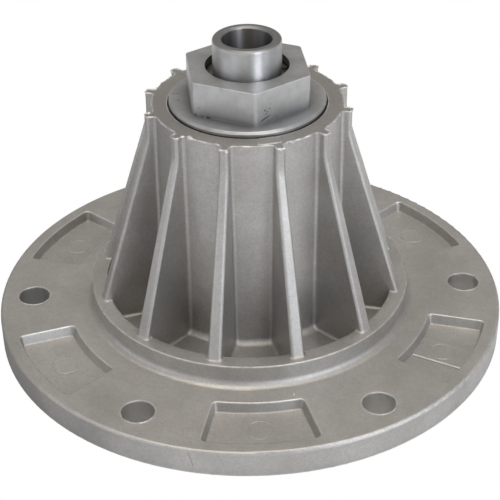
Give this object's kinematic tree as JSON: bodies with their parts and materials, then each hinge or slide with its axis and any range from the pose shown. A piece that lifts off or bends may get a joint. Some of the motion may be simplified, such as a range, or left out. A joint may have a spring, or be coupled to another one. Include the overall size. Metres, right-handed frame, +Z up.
{
  "type": "mower deck spindle",
  "caption": "Finned cast aluminium spindle housing on a round bolted flange, carrying a hollow shaft with a hexagonal collar in tapered roller bearings.",
  "frame": {"origin": "centre of the flange's underside, the face that the deck shell bolts to", "axes": "+Z up along the spindle axis towards the hexagon and the shaft's free end; -Y through the middle of one flange pocket"},
  "size_m": [0.2032, 0.2032, 0.1229],
  "materials": {
    "cast_aluminium": "as die-cast, satin",
    "ground_steel": "ground",
    "machined_steel": "turned",
    "spring_steel": "blanked",
    "bearing_steel": "ground and polished",
    "pressed_steel": "pressed",
    "nitrile_rubber": "moulded"
  },
  "bodies": {
    "housing_body": {"housing": "cast_aluminium", "upper_bearing_cup": "bearing_steel", "lower_bearing_cup": "bearing_steel", "upper_seal_case": "pressed_steel", "upper_seal_lip": "nitrile_rubber", "lower_seal_case": "pressed_steel", "lower_seal_lip": "nitrile_rubber"},
    "spindle": {"hollow_shaft": "ground_steel", "hex_collar": "machined_steel", "lower_collar": "machined_steel", "upper_retaining_ring": "spring_steel", "lower_retaining_ring": "spring_steel", "bearing_spacer": "machined_steel", "preload_shim": "spring_steel", "upper_bearing_cone": "bearing_steel", "lower_bearing_cone": "bearing_steel"},
    "upper_roller_set": {"upper_bearing_rollers": "bearing_steel", "upper_bearing_cage": "pressed_steel"},
    "lower_roller_set": {"lower_bearing_rollers": "bearing_steel", "lower_bearing_cage": "pressed_steel"}
  },
  "joints": [
    {"name": "spindle_spin", "type": "hinge", "parent": "housing_body", "child": "spindle", "pos_m": [0, 0, 0.05], "axis": [0, 0, 1], "continuous": true},
    {"name": "upper_roller_orbit", "type": "hinge", "parent": "housing_body", "child": "upper_roller_set", "pos_m": [0, 0, 0.078], "axis": [0, 0, 1], "continuous": true},
    {"name": "lower_roller_orbit", "type": "hinge", "parent": "housing_body", "child": "lower_roller_set", "pos_m": [0, 0, 0.021], "axis": [0, 0, 1], "continuous": true}
  ],
  "couplings": [
    {"joint": "upper_roller_orbit", "follows": "spindle_spin", "ratio": 0.42813},
    {"joint": "lower_roller_orbit", "follows": "spindle_spin", "ratio": 0.42813}
  ]
}
